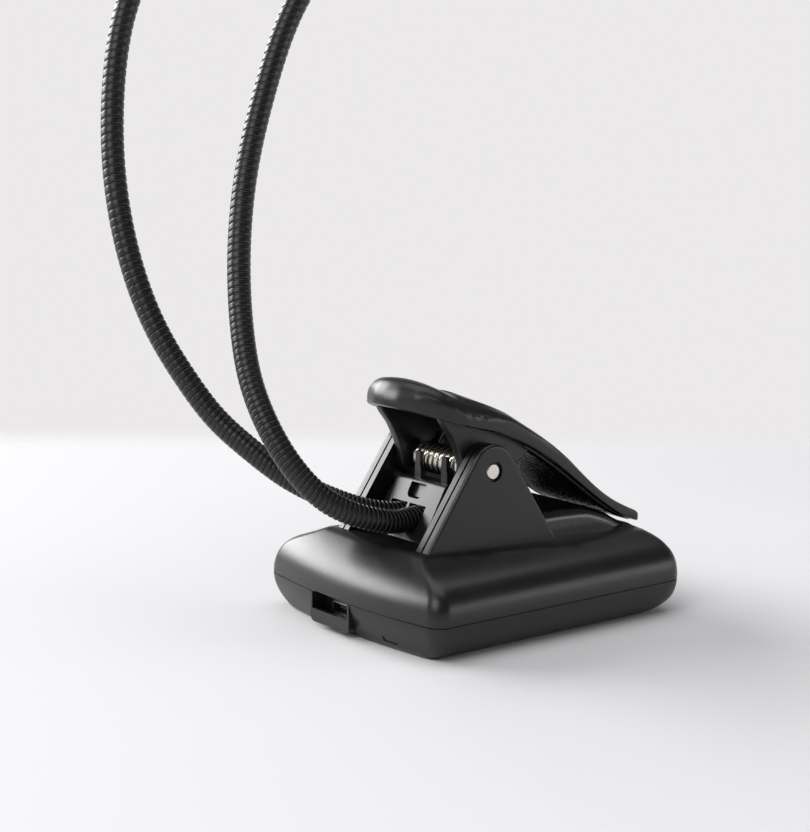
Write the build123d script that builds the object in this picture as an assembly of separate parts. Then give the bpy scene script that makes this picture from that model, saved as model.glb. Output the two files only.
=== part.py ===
from build123d import *
import math
import os

# Music stand lamp: a clamp base with a sprung lever, two goosenecks and two slim heads.
# Millimetres. Origin at the middle of the flat underside, +Z up, +X towards the jaw tip,
# -X towards the charging port. The left side is +Y and the right side is -Y.

# Base housing
base_width = 62.0
base_front = 36.4            # from the origin to the charging end, at the seam
base_nose = 38.6             # from the origin to the jaw end, at the seam
seam_height = 8.05
foot_width = 51.6            # flat part of the underside
front_height = 19.4          # top face where the ears start
jaw_height = 17.7            # top face under the jaw
front_bulge_radius = 167.0   # plan radius of the charging end
nose_bulge_radius = 117.0    # plan radius of the jaw end
corner_radius = 4.0          # of the four upright corners
shell_wall = 1.8
seam_groove = 0.35

# Ears and pin
ear_outer = 16.5
ear_wall = 4.2
ear_radius = 5.9
ear_front = -24.8            # foot of the ear towards the charging end
ear_rear = 11.2
ear_groove = 0.55
pin_x = -6.85
pin_z = 35.0
pin_radius = 1.8
pin_recess = 0.35
pin_ring = 0.45
running_gap = 0.05
body_gap = 0.3               # between pieces of different bodies

# Lever
lever_half = 14.0
paddle_end = -24.4
lever_tip = 39.4
lever_skin = 2.2
lever_roll = 1.6             # of the rounded upper rim
jaw_root = 9.0               # where the jaw takes over from the webs
web_wall = 2.4
web_radius = 5.0

# Jaw pads
upper_pad_half = 11.4
lower_pad_half = 13.2
pad_seat = 0.7
upper_pad_proud = 1.1
lower_pad_proud = 1.8
pad_start = 13.0
lower_pad_end = 32.2

# Spring
wire_diameter = 1.3
coil_inner = 2.15
coil_pitch = 1.8
coil_turns = 9
leg_length = 7.0
spring_angle = -0.6          # where the first turn starts round the pin, in radians

# Block between the ears
block_right = -7.4           # side towards the right ear
block_left = 10.6            # side towards the left ear, at the foot
block_left_top = 9.2         # the same side at the top
block_flare_height = 27.0    # where that side stops widening
block_parting = 26.3         # between the clamp and its cover
block_top = 31.2
block_foot_x = -19.4
block_top_x = -12.9
block_back_x = -9.4
window_y = 1.4
window_half = 2.6
window_low = 27.3
window_high = 30.5
window_depth = 1.5
window_corner = 1.4          # of the two lower corners
finger_places = (3.8, -5.5)
finger_x = -11.9
finger_height = 5.9
finger_width = 1.6
finger_depth = 1.0

# Necks
neck_diameter = 5.3
neck_root = 4.5              # diameter at the bottom of a groove
neck_bore = 3.0
bore_drift = 0.25            # the most that a straight piece of the bore may stray on a bend
rib_pitch = 5.8
neck_length = 231.0          # from its inner end in the block to the head's collar
neck_spacing = 6.4
neck_middle = 2.1            # between the two necks, off the middle towards the left
neck_height = 23.5
neck_start_x = -9.8          # inner end of each neck, in its cradle
cradle_gap = 0.2
stretch_count = 6            # moving stretches of each neck
first_joint = 24.0           # along the neck, from its inner end
joint_pitch = 35.0
flex_length = 6.0

# Heads, each measured from the neck's end and along it
head_length = 60.0
head_width = 23.0
head_corner = 8.0
head_wall = 1.4
cover_height = 6.6
frame_height = 2.8
parting_drop = 1.4           # of the line between cover and frame, below the neck's middle line
head_start = 2.4             # from the neck's end to the rear wall
top_round = 2.4
window_length = 48.0
window_width = 13.0
lens_rim = 1.4
lens_seat = 1.4
collar_diameter = 8.4
collar_reach = 7.0           # of the neck inside the collar
wire_hole = 2.4
spigot_diameter = 5.0
light_board_height = 1.0
led_count = 5
led_pitch = 9.4
led_size = (3.4, 2.8, 0.8)
button_radius = 3.4
button_flange = 0.9
button_flange_height = 0.7
button_travel = 0.8
button_proud = 0.6
button_from_rear = 11.0
switch_width = 5.2
pillar_radius = 0.7

# Charging hood and what is inside the base
hood_y = 2.9
hood_width = 14.2
hood_cheek = 0.6
hood_floor = 1.3
hood_lip = 4.2               # top of the lip in front of the socket
hood_depth = 3.3
port_size = (5.6, 7.6, 2.7)
port_floor = 3.3
board_size = (18.0, 26.0, 1.2)
battery_size = (42.0, 32.0, 8.0)
screw_places = [(-24.5, -21.5), (-24.5, 21.5), (28.0, -21.5), (28.0, 21.5)]
screw_radius = 1.1
screw_head_radius = 2.1
screw_sink = 2.6             # from the underside to the seat of the screw head
screw_post_radius = 2.6
light_x = -35.5
light_y = -15.6
light_z = 2.3
light_width = 4.6
light_height = 1.2

# Chosen points of each neck's middle line, from the block to the straight end in the collar
neck_points = {
    "right": [(-14, -1.1, 23.5), (-16.9, -1.1, 23.5), (-21.9, -1, 23.3), (-26.3, -0.4, 24.2), (-29.9, 0.8, 25.3),
              (-35.5, 4, 28.3), (-39.7, 8.7, 33.6), (-43, 17.4, 45), (-42.9, 23.6, 53.6),
              (-41.4, 28.8, 62.2), (-36.8, 37.3, 80), (-30.3, 44, 98.2), (-21.9, 48.5, 117.2),
              (-12.4, 50, 136.2), (-1.5, 47.5, 151), (8.5, 40.5, 162), (16.5, 30, 168.5), (22.5, 17.5, 170)],
    "left": [(-14, 5.3, 23.5), (-16.8, 5.3, 23.5), (-22.3, 7.6, 24.3), (-28.8, 13.2, 26.9), (-34.8, 20.5, 30.9),
             (-40.2, 28, 36.9), (-44.4, 34.8, 43), (-48.4, 41.5, 51.8), (-51.4, 47.6, 61), (-53.9, 57.1, 79.4),
             (-53.2, 64.3, 98), (-50.1, 69.4, 117), (-44.5, 72, 136), (-35, 72, 151.5), (-21.5, 70, 163),
             (-5, 67, 169), (4, 65, 170.2)]}

ear_inner = ear_outer - ear_wall
web_outer = ear_inner - body_gap
web_inner = web_outer - web_wall
port_face = hood_depth - base_front

floor_up = (Align.CENTER, Align.CENTER, Align.MIN)
start_up = (Align.MIN, Align.CENTER, Align.MIN)


def block_at(x_from, x_to, half, z_from, z_to):
    # A box between two places along X and two heights, as wide as twice its half
    return Pos(x_from, 0, z_from) * Box(x_to - x_from, 2 * half, z_to - z_from, align=start_up)


def above(part, height):
    return part & block_at(-100, 100, 100, height, 100)


def below(part, height):
    return part & block_at(-100, 100, 100, -50, height)


def plate_between(face, y_from, y_to):
    # A face drawn in X and Z, thickened between two places along Y
    return Pos(0, y_to, 0) * extrude(Plane.XZ * face, y_to - y_from)


# Base housing

def curve_through(points, tangents, flat):
    # A smooth curve for what shows, or straight pieces for a hidden wall
    if flat:
        return Polyline(points)
    return Spline(points, tangents=tangents)


def side_section(inset, flat=False):
    # Half of the base from the end: foot, rolled flank, seam and convex shoulder
    half = base_width / 2 - inset
    foot = foot_width / 2 - 0.4 * inset
    flank = curve_through([(foot, inset), (half - 1.9, 2.2 + 0.7 * inset), (half, seam_height)],
                          ((1, 0.35), (0, 1)), flat)
    shoulder = curve_through([(half, seam_height), (half - 3.4, 15.2 - 0.8 * inset),
                              (ear_outer + 4.8 - 0.3 * inset, jaw_height + 0.2 - inset),
                              (ear_outer - 2, front_height + 1.2 - inset)], ((0, 1), (-1, 0.3)), flat)
    roof = shoulder @ 1
    return make_face([*flank.edges(), *shoulder.edges(), Line(roof, (0, roof.Y)), Line((0, roof.Y), (0, inset)),
                      Line((0, inset), (foot, inset))])


def end_section(inset, flat, plan_radius, foot_in, flank_in, shoulder_in, crest_in, crest_height):
    # One end of the base, drawn by its distance from the middle of its plan curve
    radius = plan_radius - inset
    foot = plan_radius - foot_in - 0.4 * inset
    flank = curve_through([(foot, inset), (radius - flank_in, 2.2 + 0.7 * inset), (radius, seam_height)],
                          ((1, 0.4), (0, 1)), flat)
    shoulder = curve_through([(radius, seam_height), (radius - shoulder_in, 14.9 - 0.7 * inset),
                              (plan_radius - crest_in - 0.4 * inset, crest_height - inset),
                              (plan_radius - crest_in - 8, crest_height + 3.2 - inset)],
                             ((0, 1), (-1, 0.35)), flat)
    roof = shoulder @ 1
    return make_face([*flank.edges(), *shoulder.edges(), Line(roof, (0, roof.Y)), Line((0, roof.Y), (0, inset)),
                      Line((0, inset), (foot, inset))])


def base_block(inset, flat=False):
    # The whole base as one solid, drawn in by the inset
    front_face = end_section(inset, flat, front_bulge_radius, 3.5, 1.7, 2.5, 8.1, front_height - 0.2)
    nose_face = end_section(inset, flat, nose_bulge_radius, 5.4, 2.4, 2.3, 6.2, jaw_height + 0.1)
    half = extrude(Plane.YZ * side_section(inset, flat), 60, both=True)
    across = half + mirror(half, Plane.XZ)
    front_round = Pos(front_bulge_radius - base_front, 0, 0) * revolve(Plane.XZ * front_face, Axis.Z)
    nose_round = Pos(base_nose - nose_bulge_radius, 0, 0) * revolve(Plane.XZ * nose_face, Axis.Z)
    slope = (front_height - jaw_height) / (ear_rear - ear_front)
    top_line = Polyline((-60, front_height + slope * (60 + ear_front) - inset), (ear_rear, jaw_height - inset),
                        (60, jaw_height - inset), (60, -1), (-60, -1), close=True)
    block = across & front_round & nose_round & plate_between(make_face(top_line), -60, 60)
    if flat:
        return block
    corners = [edge for edge in block.edges() if abs(edge.center().X) > 20 and abs(edge.center().Y) > 20
               and edge.bounding_box().size.Z > seam_height / 2]
    return fillet(corners, corner_radius - inset)


def ear_outline(inset):
    # A rounded triangle from the top of the base to round the pin
    foot = 16.0
    crown = CenterArc((pin_x, pin_z), ear_radius, 0, 360)
    sole = Line((ear_front - 2.3, foot), (ear_rear + 1.7, foot))
    outline = make_face(make_hull([crown, sole]))
    if inset > 0:
        outline = offset(outline, -inset)
    return outline


def pin_bar(radius, y_from, y_to):
    bar = Cylinder(radius, y_to - y_from, align=floor_up)
    return Pos(pin_x, y_to, pin_z) * Rot(X=90) * bar


def make_ear():
    # The right ear; the left one mirrors it
    ear = plate_between(ear_outline(0), -ear_outer, -ear_inner)
    outer_rim = [edge for edge in ear.edges() if edge.center().Y < 0.01 - ear_outer and edge.center().Z > 16.5]
    ear = fillet(outer_rim, 0.8)
    middle = (ear_outer + ear_inner) / 2
    ear -= plate_between(ear_outline(0) - ear_outline(ear_groove), -middle, ear_groove - middle)
    ear -= pin_bar(pin_radius, -ear_outer - 1, -ear_inner + 1)
    ear -= pin_bar(pin_radius + pin_ring, -ear_outer - 1, 2 * pin_recess - ear_outer)
    return ear


def lower_pad_block(inset, z_from, z_to):
    # The lower pad's outline between two heights, with its end bowed like the nose
    half = lower_pad_half - inset
    end = lower_pad_end - inset
    bow = 1.2
    outline = [Line((end - bow, -half), (pad_start + inset, -half)),
               Line((pad_start + inset, -half), (pad_start + inset, half)),
               Line((pad_start + inset, half), (end - bow, half)),
               ThreePointArc((end - bow, half), (end, 0), (end - bow, -half))]
    return Pos(0, 0, z_from) * extrude(make_face(outline), z_to - z_from)


def make_upper_shell():
    outer = above(base_block(0), seam_height)
    hollow = above(base_block(shell_wall, flat=True), seam_height - 1)
    shell = outer - hollow
    shell -= lower_pad_block(-running_gap, jaw_height - pad_seat, jaw_height + 5)
    ear = make_ear() - hollow
    shell += ear
    shell += mirror(ear, Plane.XZ)
    for x, y in screw_places:
        boss = Cylinder(screw_post_radius, 6.0, align=floor_up) - Cylinder(screw_radius, 5.0, align=floor_up)
        rib = Pos(0, math.copysign(3.2, y), 0) * Box(1.4, 4.6, 6.0, align=floor_up)
        post = Pos(x, y, seam_height) * (boss + (rib - Cylinder(2, 6, align=floor_up)))
        shell += post & outer
    return shell


def make_lower_shell():
    full = below(base_block(0), seam_height)
    rim_groove = above(full - base_block(seam_groove), seam_height - seam_groove)
    half = hood_width / 2
    hood = block_at(-base_front - 0.1, -base_front + 6, half, hood_floor, seam_height - seam_groove)
    corners = [edge for edge in hood.edges().filter_by(Axis.X) if edge.center().Z < seam_height / 2]
    hood = Pos(0, hood_y, 0) * fillet(corners, 1.4)
    shell = full - rim_groove + hood
    room = below(base_block(shell_wall, flat=True), seam_height)
    port_wall = Pos(0, hood_y, 0) * block_at(port_face, port_face + 1.4, half, hood_floor, seam_height - seam_groove)
    shell = shell - room + port_wall
    mouth_half = half - hood_cheek
    mouth = block_at(-50, port_face, mouth_half, hood_lip, 20)
    well = block_at(-base_front + 1.0, port_face, mouth_half, port_floor - 0.3, hood_lip + 1)
    shell -= Pos(0, hood_y, 0) * (mouth + well)
    socket = block_at(port_face - 1, port_face + 3, port_size[1] / 2 + running_gap, port_floor - running_gap,
                      port_floor + port_size[2] + running_gap)
    shell -= Pos(0, hood_y, 0) * socket
    for x, y in screw_places:
        post = Pos(x, y, 0.5) * Cylinder(screw_post_radius + 0.4, seam_height - 0.5, align=floor_up)
        shell += post
        shell -= Pos(x, y, 0) * Cylinder(screw_radius + 0.15, 30)
        shell -= Pos(x, y, -1) * Cylinder(screw_head_radius + 0.2, screw_sink + 1, align=floor_up)
    shell -= light_bar(running_gap)
    for side in (-1, 1):
        rib = Box(battery_size[0], 1.4, 4, align=floor_up)
        shell += Pos(battery_x(), side * (battery_size[1] / 2 + 1.0), shell_wall - 0.3) * rib
    return shell


def light_bar(gap):
    # An oval light guide through the front wall, low and to the right of the hood
    oval = SlotOverall(light_width + 2 * gap, light_height + 2 * gap)
    return Pos(light_x, light_y, light_z) * extrude(Plane.YZ * oval, 4.5)


def make_charge_light():
    return light_bar(0) & base_block(0.15)


def make_usb_port():
    length, width, height = port_size
    case = block_at(0, length, width / 2, 0, height)
    case = fillet(case.edges().filter_by(Axis.X), 0.5)
    case -= block_at(-1, length - 1.0, width / 2 - 0.35, 0.35, height - 0.35)
    case += block_at(1.0, length - 0.5, 2.2, 1.05, 1.65)
    return Pos(port_face + 0.1, hood_y, port_floor) * case


def make_charge_board():
    length, width, height = board_size
    board = block_at(0, length, width / 2, -height, 0)
    chip = Box(4, 4, 1.0, align=floor_up)
    board += Pos(length - 4, -6, 0) * chip + Pos(length - 4, 5, 0) * chip
    return Pos(board_x(), 0, port_floor) * board


def board_x():
    return port_face + 1.5


def battery_x():
    return board_x() + board_size[0] + 1.0 + battery_size[0] / 2


def make_battery():
    length, width, height = battery_size
    cell = Box(length, width, height, align=floor_up)
    cell = fillet(cell.edges().filter_by(Axis.X), 2.0)
    return Pos(battery_x(), 0, shell_wall) * cell


def make_case_screws():
    screws = []
    for x, y in screw_places:
        head = Pos(0, 0, screw_sink - 1.3) * Cylinder(screw_head_radius, 1.3, align=floor_up)
        shank = Pos(0, 0, screw_sink) * Cylinder(screw_radius - 0.02, 9.0, align=floor_up)
        slot = Pos(0, 0, screw_sink - 1.3) * Box(2.6, 0.6, 1.0)
        screws.append(Pos(x, y, 0) * (head + shank - slot))
    return Compound(children=screws)


def make_lower_pad():
    pad = lower_pad_block(0, jaw_height - pad_seat, jaw_height + lower_pad_proud)
    top = pad.faces().sort_by(Axis.Z)[-1]
    return fillet(top.edges(), 0.9)


# Clamp lever

def lever_lower(drop):
    points = [(paddle_end - 1, 49.4), (-14.8, 45.7), (-0.7, 41.6), (10.4, 35.9), (27.1, 24.2), (34.4, 19.8),
              (lever_tip, 17.7)]
    return Spline([(x, z - drop) for x, z in points])


def lever_upper(drop):
    points = [(paddle_end - 1, 52.0), (-21.2, 54.3), (-14, 52.7), (-5.6, 49.3), (4.6, 43.9), (15.6, 36.5),
              (27.6, 26.4), (33.4, 22.8), (lever_tip, 20.0)]
    return Spline([(x, z - drop) for x, z in points])


def between_curves(high, low, half):
    outline = make_face([high, low, Line(low @ 0, high @ 0), Line(low @ 1, high @ 1)])
    return plate_between(outline, -half, half)


def lever_plan(inset):
    # Seen from above: blunt rounded paddle, straight sides, square tip with small corners
    half = lever_half - inset
    tip = lever_tip - inset
    nose = paddle_end + inset
    shoulder = paddle_end + 11.0
    corner = 2.5
    far_side = Spline((nose, 0), (nose + 2.4, half * 0.62), (shoulder, half), tangents=((0, 1), (1, 0)))
    near_side = Spline((shoulder, -half), (nose + 2.4, -half * 0.62), (nose, 0), tangents=((-1, 0), (0, 1)))
    outline = [near_side, far_side,
               Line((shoulder, half), (tip - corner, half)),
               RadiusArc((tip - corner, half), (tip, half - corner), corner),
               Line((tip, half - corner), (tip, corner - half)),
               RadiusArc((tip, corner - half), (tip - corner, -half), corner),
               Line((tip - corner, -half), (shoulder, -half))]
    return extrude(make_face(outline), 80)


def web_outline():
    front = Spline((-18.4, 48.0), (-14.8, 42.8), (-12.7, 38.6), (pin_x - web_radius, pin_z))
    sole = ThreePointArc(front @ 1, (pin_x, pin_z - web_radius), (pin_x + web_radius, pin_z))
    rear = Polyline(sole @ 1, (3.4, pin_z), (8.4, 38.6), (10.0, 46), (-18.4, 56), front @ 0)
    return make_face([front, sole] + list(rear.edges()))


def make_lever():
    plate = between_curves(lever_upper(0), lever_lower(0), lever_half + 5) & lever_plan(0)
    broad_faces = plate.faces().sort_by(SortBy.AREA)[-2:].sort_by(Axis.Z)
    plate = fillet(broad_faces[-1].edges(), lever_roll)
    pocket = between_curves(lever_upper(lever_skin), lever_lower(4), lever_half + 5) & lever_plan(lever_skin)
    plate -= pocket & block_at(-40, jaw_root, 30, 0, 80)
    web = plate_between(web_outline(), -web_outer, -web_inner)
    web = web & between_curves(lever_upper(0.6), lever_lower(40), 40)
    plate += web
    plate += mirror(web, Plane.XZ)
    plate -= pin_bar(pin_radius + running_gap, -20, 20)
    plate -= jaw_pad_strip(-pad_seat, 5, running_gap)
    return plate


def jaw_pad_strip(rise, drop, gap):
    # A strip along the underside of the lever's jaw, between two offsets below it
    strip = between_curves(lever_lower(rise), lever_lower(drop), upper_pad_half + gap)
    return strip & block_at(jaw_root + 1.5 - gap, lever_tip - 1.8 + gap, 30, 0, 80)


def make_upper_pad():
    pad = jaw_pad_strip(-pad_seat, upper_pad_proud, 0)
    return pad


# Torsion spring

def tangent_pair(start, start_way, end, end_way):
    # Two arcs that join two points and leave both in the given ways
    span = end - start
    along = span.dot(start_way + end_way)
    turn = 2 * (1 - start_way.dot(end_way))
    reach = (math.sqrt(along ** 2 + turn * span.dot(span)) - along) / turn
    joint = (start + start_way * reach + end - end_way * reach) * 0.5
    first = Edge.make_tangent_arc(start, start_way, joint)
    second = Edge.make_tangent_arc(joint, first % 1, end)
    return [first, second]


def make_spring():
    # One round wire wound on the pin, with a straight leg at each end
    radius = coil_inner + wire_diameter / 2
    steps = coil_turns * 2
    rise = coil_pitch / (2 * math.pi)
    slant = math.hypot(radius, rise)
    first_angle = spring_angle

    def place(angle):
        spun = first_angle + angle
        return Vector(pin_x + radius * math.cos(spun), angle * rise - coil_turns * coil_pitch / 2,
                      pin_z + radius * math.sin(spun))

    def way(angle):
        spun = first_angle + angle
        return Vector(-radius * math.sin(spun), rise, radius * math.cos(spun)) / slant

    edges = [Edge.make_line(place(0) - way(0) * leg_length, place(0))]
    for step in range(steps):
        start = step * math.pi
        end = (step + 1) * math.pi
        edges += tangent_pair(place(start), way(start), place(end), way(end))
    last = steps * math.pi
    edges.append(Edge.make_line(place(last), place(last) + way(last) * leg_length))
    route = Wire(edges)
    points = [edge @ (k / 6) for edge in edges[1:-1] for k in range(6)]
    turn_points = len(points) // coil_turns
    gap = min((points[i] - points[j]).length for i in range(len(points))
              for j in range(i + turn_points // 2, len(points)))
    print("spring least gap to itself", round(gap - wire_diameter, 3))
    section = Plane(origin=route @ 0, z_dir=route % 0) * RegularPolygon(wire_diameter / 2, 8)
    return sweep(section, path=route)


# Block between the ears

def block_section():
    foot = jaw_height - 1.0
    lean = (block_top_x - block_foot_x) / (block_top - front_height)
    front_foot = (block_foot_x - lean * (front_height - foot), foot)
    outline = Polyline(front_foot, (block_top_x, block_top), (block_back_x, block_top), (block_back_x, foot),
                       close=True)
    return make_face(outline)


def block_slab():
    return plate_between(block_section(), block_right, block_left)


def block_body():
    # Upright towards the right ear, and flared towards the left one
    front_view = Polyline((block_right, 0), (block_right, block_top), (block_left_top, block_top),
                          (block_left, block_flare_height), (block_left, 0), close=True)
    body = block_slab() & extrude(Plane.YZ * make_face(front_view), 60, both=True)
    return body - base_block(0)


def neck_slots():
    # Round below and open upwards, so that the necks are laid in before the cover goes on
    radius = neck_diameter / 2 + cradle_gap
    slots = []
    for side in (-1, 1):
        bar = Rot(Y=-90) * Cylinder(radius, 20, align=floor_up)
        mouth = block_at(-20, 0, radius, 0, block_parting - neck_height + 1)
        slots.append(Pos(neck_start_x, neck_middle + side * neck_spacing / 2, neck_height) * (bar + mouth))
    return slots


def make_neck_clamp():
    part = below(block_body(), block_parting)
    for slot in neck_slots():
        part -= slot
    return part


def make_neck_cover():
    part = above(block_body(), block_parting)
    front_edge = [edge for edge in part.edges().filter_by(Axis.Y)
                  if edge.center().Z > block_top - 0.01 and edge.center().X < block_top_x + 0.01]
    part = fillet(front_edge, 1.4)
    window = block_at(block_foot_x - 2, block_top_x + 2, window_half, window_low, window_high)
    low_edges = [edge for edge in window.edges().filter_by(Axis.X) if edge.center().Z < window_low + 0.01]
    window = Pos(0, window_y, 0) * fillet(low_edges, window_corner)
    part -= window - Pos(window_depth, 0, 0) * block_slab()
    for y in finger_places:
        finger = block_at(finger_x, finger_x + finger_depth, finger_width / 2, block_top - 0.2,
                          block_top + finger_height)
        heel = block_at(finger_x, finger_x + finger_depth + 0.5, finger_width / 2 + 0.25, block_top - 0.2,
                        block_top + finger_height * 0.45)
        part += Pos(0, y, 0) * (finger + heel)
    return part


def make_pivot_pin():
    pin = pin_bar(pin_radius, pin_recess - ear_outer, ear_outer - pin_recess)
    return chamfer(pin.edges().filter_by(GeomType.CIRCLE), 0.25)


# Necks

def neck_path(side):
    points = neck_points[side]
    cradle = Line((neck_start_x, points[0][1], points[0][2]), points[0])
    bend = Spline(points)
    straight = neck_length - cradle.length - bend.length
    end = Line(bend @ 1, bend @ 1 + (bend % 1) * straight)
    return Wire([cradle.edge(), bend.edge(), end.edge()])


class Neck:
    # Stations each millimetre along a neck, with a steady cross direction
    def __init__(self, side):
        path = neck_path(side)
        self.length = path.length
        count = int(self.length) + 1
        self.places = []
        self.ways = []
        self.crosses = []
        cross = Vector(0, 1, 0)
        for step in range(count + 1):
            share = min(step / self.length, 1)
            way = path.tangent_at(share)
            cross = (cross - way * cross.dot(way)).normalized()
            self.places.append(path.position_at(share))
            self.ways.append(way)
            self.crosses.append(cross)
        self.path = path

    def plane(self, distance):
        share = min(distance / self.length, 1)
        way = self.path.tangent_at(share)
        cross = self.crosses[min(round(distance), len(self.crosses) - 1)]
        cross = (cross - way * cross.dot(way)).normalized()
        return Plane(origin=self.path.position_at(share), x_dir=cross, z_dir=way)

    def least_radius(self):
        turns = [self.ways[i].get_angle(self.ways[i + 1]) for i in range(len(self.ways) - 2)]
        return 1 / math.radians(max(turns))


def neck_joints(neck):
    # Distance along the neck of each joint; the last stretch takes what is left
    return [first_joint + joint_pitch * step for step in range(stretch_count)]


def neck_cuts(neck):
    cuts = [0.0]
    for distance in neck_joints(neck):
        cuts += [distance - flex_length / 2, distance + flex_length / 2]
    return cuts + [neck.length]


def ribbed_piece(neck, start, end):
    # Ribs between two distances: each goes up, along its crest and down to the next groove
    ribs = max(1, round((end - start) / rib_pitch))
    pitch = (end - start) / ribs
    crest = neck_diameter / 2
    root = neck_root / 2
    rings = [(start, root)]
    for step in range(ribs):
        rib_start = start + step * pitch
        rings += [(rib_start + 0.2 * pitch, crest), (rib_start + 0.8 * pitch, crest), (rib_start + pitch, root)]
    hose = Solid.make_loft([Wire(neck.plane(place) * Edge.make_circle(radius)) for place, radius in rings], True)
    turned = math.radians(neck.plane(start).z_dir.get_angle(neck.plane(end).z_dir))
    spans = math.ceil(math.sqrt((end - start) * turned / (8 * bore_drift)) + 0.5)
    bores = [start + (end - start) * step / spans for step in range(spans + 1)]
    bores[0] -= 0.01
    bores[-1] += 0.01
    bore = Solid.make_loft([Wire(neck.plane(max(0, place)) * Edge.make_circle(neck_bore / 2)) for place in bores],
                           True)
    return hose - bore


def make_neck(side, neck):
    pieces = {}
    cuts = neck_cuts(neck)
    for step in range(stretch_count + 1):
        pieces[f"{side}_neck_stretch_{step}"] = ribbed_piece(neck, cuts[2 * step], cuts[2 * step + 1])
        if step < stretch_count:
            pieces[f"{side}_neck_flex_{step + 1}"] = ribbed_piece(neck, cuts[2 * step + 1], cuts[2 * step + 2])
    return pieces


# Heads, drawn along +X from the neck's end and with their light facing down

def head_outline(inset):
    shape = RectangleRounded(head_length - 2 * inset, head_width - 2 * inset, head_corner - inset)
    return Pos(head_start + head_length / 2, 0) * shape


def head_slab(inset, z_from, z_to):
    return Pos(0, 0, z_from) * extrude(head_outline(inset), z_to - z_from)


def bar_along(radius, x_from, x_to):
    return Pos(x_from, 0, 0) * Rot(Y=90) * Cylinder(radius, x_to - x_from, align=floor_up)


def make_collar():
    radius = collar_diameter / 2
    collar = bar_along(radius, -collar_reach, head_start)
    rear = collar.edges().filter_by(GeomType.CIRCLE).sort_by(Axis.X)[0]
    collar = fillet(rear, 0.9)
    collar += bar_along(spigot_diameter / 2, head_start - 0.1, head_start + head_wall + 0.4)
    collar -= bar_along(neck_diameter / 2 + running_gap, -collar_reach - 1, 0)
    collar -= bar_along(wire_hole / 2, -1, head_start + 10)
    return collar


def button_place():
    return head_start + button_from_rear


def cover_top():
    return cover_height - parting_drop


def button_seat():
    # Top of the button's flange at rest, under the cover
    return cover_top() - head_wall - body_gap


def make_head_cover():
    cover = head_slab(0, -parting_drop, cover_top())
    top = cover.faces().sort_by(Axis.Z)[-1]
    cover = fillet(top.edges(), top_round)
    cover -= head_slab(head_wall, -parting_drop - 1, cover_top() - head_wall)
    cover -= bar_along(spigot_diameter / 2 + running_gap, -1, head_start + head_wall + 1)
    cover -= Pos(button_place(), 0, 0) * Cylinder(button_radius + body_gap, 20, align=floor_up)
    return cover


def make_head_frame():
    low = -parting_drop - frame_height
    frame = head_slab(0, low, -parting_drop)
    bottom = frame.faces().sort_by(Axis.Z)[0]
    frame = fillet(bottom.edges(), 0.8)
    middle = head_start + head_length / 2
    window = Box(window_length, window_width, 20)
    seat = Box(window_length + 2 * lens_rim, window_width + 2 * lens_rim, lens_seat, align=floor_up)
    frame -= Pos(middle, 0, 0) * window
    frame -= bar_along(spigot_diameter / 2 + running_gap, -1, head_start + head_wall + 0.6)
    frame -= Pos(middle, 0, -parting_drop - lens_seat) * seat
    for x in (-18, 18):
        for y in (-1, 1):
            pillar = Cylinder(pillar_radius, parting_drop + 0.2, align=floor_up)
            frame += Pos(middle + x, y * (window_width / 2 + lens_rim + 0.9), -parting_drop - 0.2) * pillar
    return frame


def make_head_lens():
    middle = head_start + head_length / 2
    gap = running_gap
    rim = Box(window_length + 2 * lens_rim - 2 * gap, window_width + 2 * lens_rim - 2 * gap, lens_seat, align=floor_up)
    pane = Box(window_length - 2 * gap, window_width - 2 * gap, 1.0, align=floor_up)
    lens = Pos(0, 0, -parting_drop - lens_seat) * rim + Pos(0, 0, -parting_drop - lens_seat - 0.9) * pane
    return Pos(middle, 0, 0) * lens


def make_light_board():
    board = head_slab(head_wall + 0.05, 0, light_board_height)
    board -= bar_along(spigot_diameter / 2 + 0.5, 0, head_start + 6)
    return board


def make_leds():
    middle = head_start + head_length / 2
    leds = []
    for step in range(led_count):
        led = Box(*led_size, align=(Align.CENTER, Align.CENTER, Align.MAX))
        leds.append(Pos(middle + (step - (led_count - 1) / 2) * led_pitch, 0, 0) * led)
    return Compound(children=leds)


def make_button_switch():
    height = button_seat() - button_flange_height - button_travel - body_gap - light_board_height
    base = Box(switch_width, switch_width, height, align=floor_up)
    return Pos(button_place(), 0, light_board_height) * base


def make_head_button():
    top = cover_top() + button_proud
    seat = button_seat()
    cap = Pos(0, 0, seat - button_flange_height) * Cylinder(button_radius, top - seat + button_flange_height,
                                                            align=floor_up)
    rim = cap.edges().filter_by(GeomType.CIRCLE).sort_by(Axis.Z)[-1]
    cap = fillet(rim, 0.5)
    flange = Cylinder(button_radius + button_flange, button_flange_height, align=floor_up)
    cap += Pos(0, 0, seat - button_flange_height) * flange
    return Pos(button_place(), 0, 0) * cap


def head_frame_of(neck):
    # Where the head's own axes lie: along the neck's end, and as upright as that allows
    way = neck.path.tangent_at(1)
    upright = (Vector(0, 0, 1) - way * way.Z).normalized()
    return Plane(origin=neck.path.position_at(1), x_dir=way, z_dir=upright)


def make_head(side, neck):
    place = head_frame_of(neck)
    makers = {"neck_collar": make_collar, "head_cover": make_head_cover, "head_frame": make_head_frame,
              "head_lens": make_head_lens, "light_board": make_light_board, "leds": make_leds,
              "button_switch": make_button_switch, "head_button": make_head_button}
    return {f"{side}_{name}": place.location * maker() for name, maker in makers.items()}


# The whole lamp

def print_joint(name, place, way):
    numbers = [*tuple(place), *tuple(way)]
    print("joint", name, " ".join(f"{value:.5f}" for value in numbers))


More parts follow.
